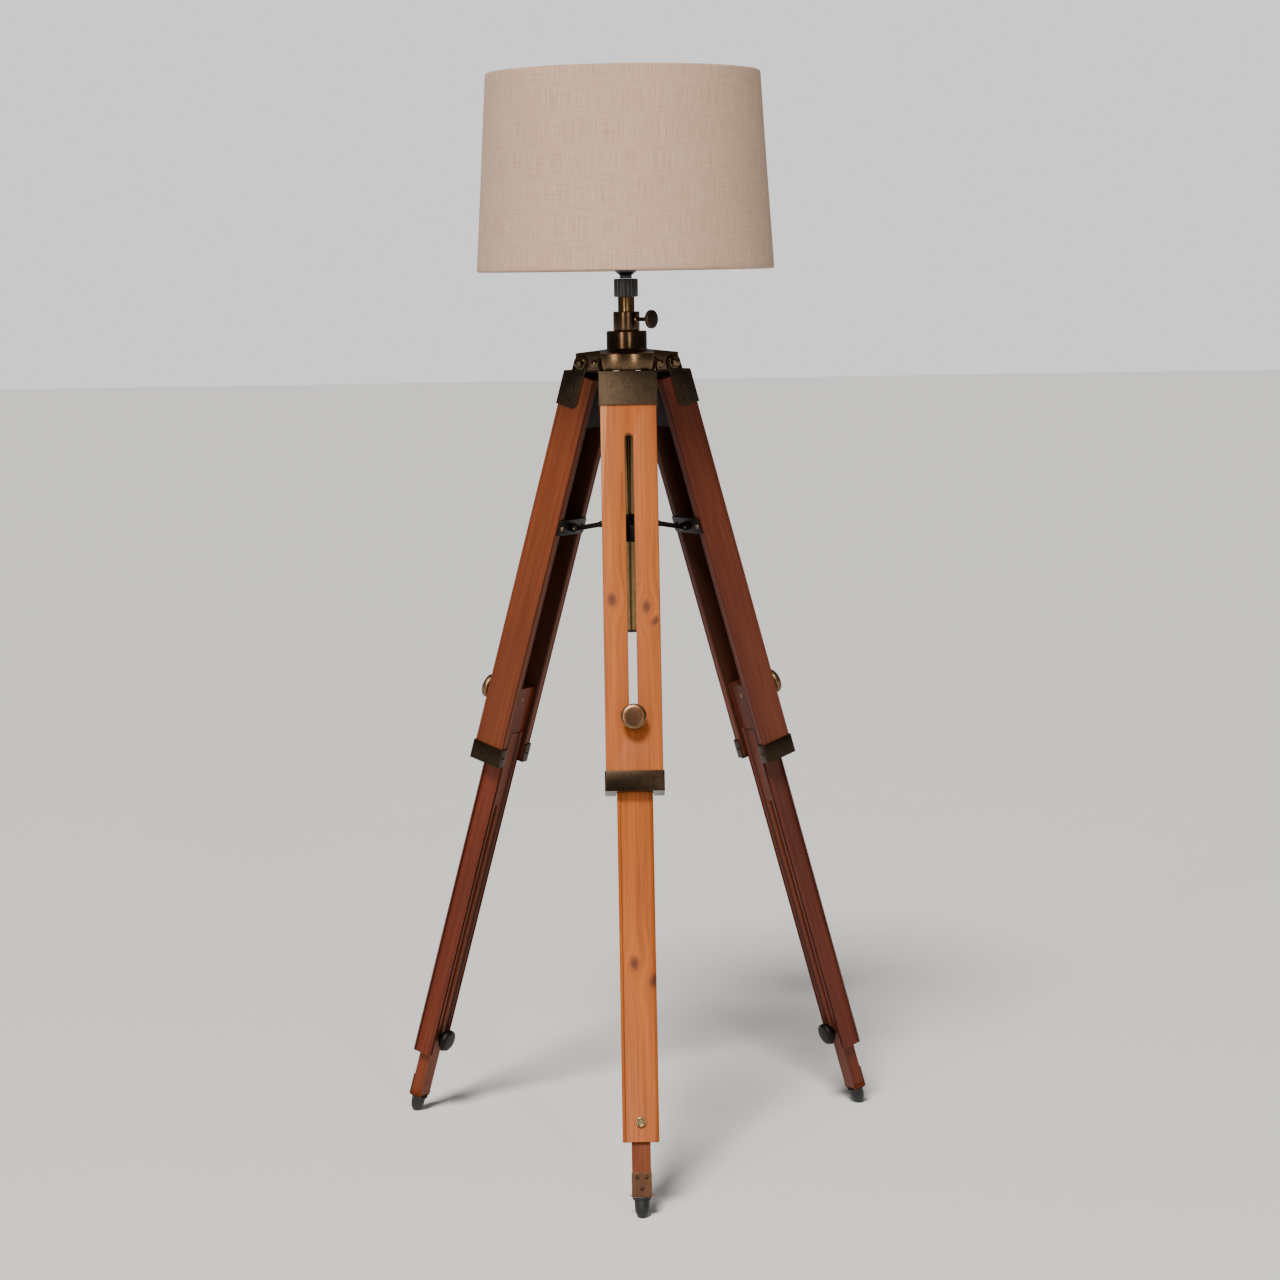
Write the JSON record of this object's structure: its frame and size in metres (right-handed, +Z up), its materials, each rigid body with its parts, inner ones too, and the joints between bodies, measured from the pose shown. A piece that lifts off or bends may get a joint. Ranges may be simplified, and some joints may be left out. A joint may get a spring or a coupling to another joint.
{
  "type": "tripod floor lamp",
  "caption": "Tripod floor lamp with telescoping wooden legs that fold together, bronze fittings, a height-adjustable pole and a tapered fabric drum shade.",
  "frame": {"origin": "centre of the bounding box on the floor plane, with the three foot tips at z = 0", "axes": "+Z up along the pole, -Y towards the front leg, +X to the right seen from the front"},
  "size_m": [0.7402, 0.6484, 1.6434],
  "materials": {
    "bronze": "antique bronze, satin, rubbed brighter at the edges",
    "brass": "satin brass",
    "steel": "plated wire",
    "black_metal": "blackened satin metal",
    "black_plastic": "moulded black, satin",
    "rubber": "matt black",
    "linen": "natural linen with slubs, matt",
    "bulb_glass": "frosted",
    "wood": "warm brown stained softwood, satin, with knots"
  },
  "bodies": {
    "head": {"head_casting": "bronze", "pole_collar": "bronze", "hinge_pin_front": "bronze", "hinge_pin_left": "bronze", "hinge_pin_right": "bronze"},
    "thumbscrew": {"thumbscrew": "bronze"},
    "pole": {"pole": "brass", "pole_gland": "black_plastic", "holder_ring": "black_plastic", "lampholder": "black_plastic", "socket_insert": "brass", "bulb_cap": "steel", "bulb_glass": "bulb_glass", "shade_clamp_ring": "black_plastic", "shade_cover": "linen", "shade_top_ring": "steel", "shade_spider": "steel"},
    "spreader_hub": {"spreader_hub": "black_metal"},
    "leg_front": {"upper_board_front": "wood", "upper_rail_a_front": "wood", "upper_rail_b_front": "wood", "leg_cap_front": "bronze", "band_front": "bronze", "bracket_front": "black_metal"},
    "middle_front": {"middle_stage_front": "wood", "lower_bolt_front": "brass"},
    "lower_front": {"lower_stage_front": "wood", "foot_plate_front": "bronze", "foot_tip_front": "rubber"},
    "upper_knob_front": {"upper_knob_front": "bronze"},
    "lower_knob_front": {"lower_knob_front": "bronze"},
    "strut_front": {"strut_front": "bronze"},
    "leg_left": {"upper_board_left": "wood", "upper_rail_a_left": "wood", "upper_rail_b_left": "wood", "leg_cap_left": "bronze", "band_left": "bronze", "bracket_left": "black_metal"},
    "middle_left": {"middle_stage_left": "wood", "lower_bolt_left": "brass"},
    "lower_left": {"lower_stage_left": "wood", "foot_plate_left": "bronze", "foot_tip_left": "rubber"},
    "upper_knob_left": {"upper_knob_left": "bronze"},
    "lower_knob_left": {"lower_knob_left": "bronze"},
    "strut_left": {"strut_left": "bronze"},
    "leg_right": {"upper_board_right": "wood", "upper_rail_a_right": "wood", "upper_rail_b_right": "wood", "leg_cap_right": "bronze", "band_right": "bronze", "bracket_right": "black_metal"},
    "middle_right": {"middle_stage_right": "wood", "lower_bolt_right": "brass"},
    "lower_right": {"lower_stage_right": "wood", "foot_plate_right": "bronze", "foot_tip_right": "rubber"},
    "upper_knob_right": {"upper_knob_right": "bronze"},
    "lower_knob_right": {"lower_knob_right": "bronze"},
    "strut_right": {"strut_right": "bronze"}
  },
  "joints": [
    {"name": "pole_height", "type": "slide", "parent": "head", "child": "pole", "axis": [0, 0, 1], "range_m": [-0.018, 0.15]},
    {"name": "thumbscrew_turn", "type": "hinge", "parent": "head", "child": "thumbscrew", "pos_m": [0, 0.0992, 1.27414], "axis": [0.766, -0.6428, 0], "range_deg": [0, 180]},
    {"name": "leg_fold_front", "type": "hinge", "parent": "head", "child": "leg_front", "pos_m": [0, 0.0422, 1.20894], "axis": [1, 0, 0], "range_deg": [0, 12]},
    {"name": "strut_swing_front", "type": "hinge", "parent": "leg_front", "child": "strut_front", "pos_m": [0, 0.00418, 0.95391], "axis": [1, 0, 0], "range_deg": [0, 62.51]},
    {"name": "middle_slide_front", "type": "slide", "parent": "leg_front", "child": "middle_front", "axis": [0, 0.2924, 0.9563], "range_m": [0, 0.424]},
    {"name": "lower_slide_front", "type": "slide", "parent": "middle_front", "child": "lower_front", "axis": [0, -0.2924, -0.9563], "range_m": [0, 0.4]},
    {"name": "upper_knob_turn_front", "type": "hinge", "parent": "middle_front", "child": "upper_knob_front", "pos_m": [0, -0.1167, 0.68919], "axis": [0, -0.9563, 0.2924], "range_deg": [0, 180]},
    {"name": "lower_knob_turn_front", "type": "hinge", "parent": "middle_front", "child": "lower_knob_front", "pos_m": [0, -0.28709, 0.13185], "axis": [0, 0.9563, -0.2924], "range_deg": [0, 180]},
    {"name": "leg_fold_left", "type": "hinge", "parent": "head", "child": "leg_left", "pos_m": [-0.04936, 0.1277, 1.20894], "axis": [-0.5, -0.866, 0], "range_deg": [0, 12]},
    {"name": "strut_swing_left", "type": "hinge", "parent": "leg_left", "child": "strut_left", "pos_m": [-0.08229, 0.14672, 0.95391], "axis": [-0.5, -0.866, 0], "range_deg": [0, 62.51]},
    {"name": "middle_slide_left", "type": "slide", "parent": "leg_left", "child": "middle_left", "axis": [0.2532, -0.1462, 0.9563], "range_m": [0, 0.424]},
    {"name": "lower_slide_left", "type": "slide", "parent": "middle_left", "child": "lower_left", "axis": [-0.2532, 0.1462, -0.9563], "range_m": [0, 0.4]},
    {"name": "upper_knob_turn_left", "type": "hinge", "parent": "middle_left", "child": "upper_knob_left", "pos_m": [-0.18698, 0.20716, 0.68919], "axis": [-0.8282, 0.4782, 0.2924], "range_deg": [0, 180]},
    {"name": "lower_knob_turn_left", "type": "hinge", "parent": "middle_left", "child": "lower_knob_left", "pos_m": [-0.33454, 0.29235, 0.13185], "axis": [0.8282, -0.4782, -0.2924], "range_deg": [0, 180]},
    {"name": "leg_fold_right", "type": "hinge", "parent": "head", "child": "leg_right", "pos_m": [0.04936, 0.1277, 1.20894], "axis": [-0.5, 0.866, 0], "range_deg": [0, 12]},
    {"name": "strut_swing_right", "type": "hinge", "parent": "leg_right", "child": "strut_right", "pos_m": [0.08229, 0.14672, 0.95391], "axis": [-0.5, 0.866, 0], "range_deg": [0, 62.51]},
    {"name": "middle_slide_right", "type": "slide", "parent": "leg_right", "child": "middle_right", "axis": [-0.2532, -0.1462, 0.9563], "range_m": [0, 0.424]},
    {"name": "lower_slide_right", "type": "slide", "parent": "middle_right", "child": "lower_right", "axis": [0.2532, 0.1462, -0.9563], "range_m": [0, 0.4]},
    {"name": "upper_knob_turn_right", "type": "hinge", "parent": "middle_right", "child": "upper_knob_right", "pos_m": [0.18698, 0.20716, 0.68919], "axis": [0.8282, 0.4782, 0.2924], "range_deg": [0, 180]},
    {"name": "lower_knob_turn_right", "type": "hinge", "parent": "middle_right", "child": "lower_knob_right", "pos_m": [0.33454, 0.29235, 0.13185], "axis": [-0.8282, -0.4782, -0.2924], "range_deg": [0, 180]},
    {"name": "hub_slide", "type": "slide", "parent": "head", "child": "spreader_hub", "axis": [0, 0, 1], "range_m": [0, 0.0481]}
  ],
  "couplings": [
    {"joint": "strut_swing_front", "follows": "leg_fold_front", "ratio": 5.2083},
    {"joint": "leg_fold_left", "follows": "leg_fold_front", "ratio": 1},
    {"joint": "strut_swing_left", "follows": "leg_fold_front", "ratio": 5.2083},
    {"joint": "leg_fold_right", "follows": "leg_fold_front", "ratio": 1},
    {"joint": "strut_swing_right", "follows": "leg_fold_front", "ratio": 5.2083},
    {"joint": "hub_slide", "follows": "leg_fold_front", "m_per_rad": 0.22918}
  ]
}
